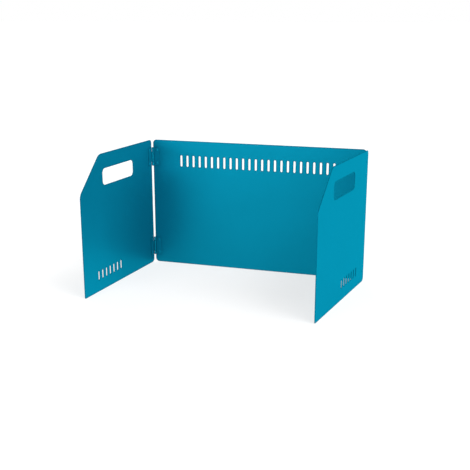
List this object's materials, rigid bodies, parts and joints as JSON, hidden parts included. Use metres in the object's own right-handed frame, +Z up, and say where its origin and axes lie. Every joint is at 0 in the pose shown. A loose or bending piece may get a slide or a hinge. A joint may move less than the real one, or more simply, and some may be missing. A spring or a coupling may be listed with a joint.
{
  "type": "stove windscreen",
  "caption": "Free-standing folding windscreen for a camp stove: a wide back panel with a hinged wing at each end, hand slots, vents and cut-off front corners.",
  "frame": {"origin": "on the ground, at the middle of the back panel's bottom edge in length and in thickness", "axes": "+X along the back panel towards the right wing, +Y outwards through the back panel, +Z up; the stove stands on the -Y side"},
  "size_m": [0.4579, 0.2523, 0.25],
  "materials": {
    "panel_coat": "satin teal powder coat on sheet steel",
    "hinge_coat": "satin teal powder coat on rolled steel leaves",
    "rivet_coat": "satin teal powder coat on steel rivets"
  },
  "bodies": {
    "back_assembly": {"back_panel": "panel_coat", "left_upper_hinge_frame_leaf": "hinge_coat", "left_upper_hinge_pin": "hinge_coat", "left_upper_hinge_frame_rivets": "rivet_coat", "left_lower_hinge_frame_leaf": "hinge_coat", "left_lower_hinge_pin": "hinge_coat", "left_lower_hinge_frame_rivets": "rivet_coat", "right_upper_hinge_frame_leaf": "hinge_coat", "right_upper_hinge_pin": "hinge_coat", "right_upper_hinge_frame_rivets": "rivet_coat", "right_lower_hinge_frame_leaf": "hinge_coat", "right_lower_hinge_pin": "hinge_coat", "right_lower_hinge_frame_rivets": "rivet_coat"},
    "left_wing_assembly": {"left_wing": "panel_coat", "left_upper_hinge_wing_leaf": "hinge_coat", "left_upper_hinge_wing_rivets": "rivet_coat", "left_lower_hinge_wing_leaf": "hinge_coat", "left_lower_hinge_wing_rivets": "rivet_coat"},
    "right_wing_assembly": {"right_wing": "panel_coat", "right_upper_hinge_wing_leaf": "hinge_coat", "right_upper_hinge_wing_rivets": "rivet_coat", "right_lower_hinge_wing_leaf": "hinge_coat", "right_lower_hinge_wing_rivets": "rivet_coat"}
  },
  "joints": [
    {"name": "left_wing_fold", "type": "hinge", "parent": "back_assembly", "child": "left_wing_assembly", "pos_m": [-0.2106, -0.0026, 0], "axis": [0, 0, 1], "range_deg": [-83, 97]},
    {"name": "right_wing_fold", "type": "hinge", "parent": "back_assembly", "child": "right_wing_assembly", "pos_m": [0.2106, -0.0026, 0], "axis": [0, 0, -1], "range_deg": [-100, 79]}
  ]
}
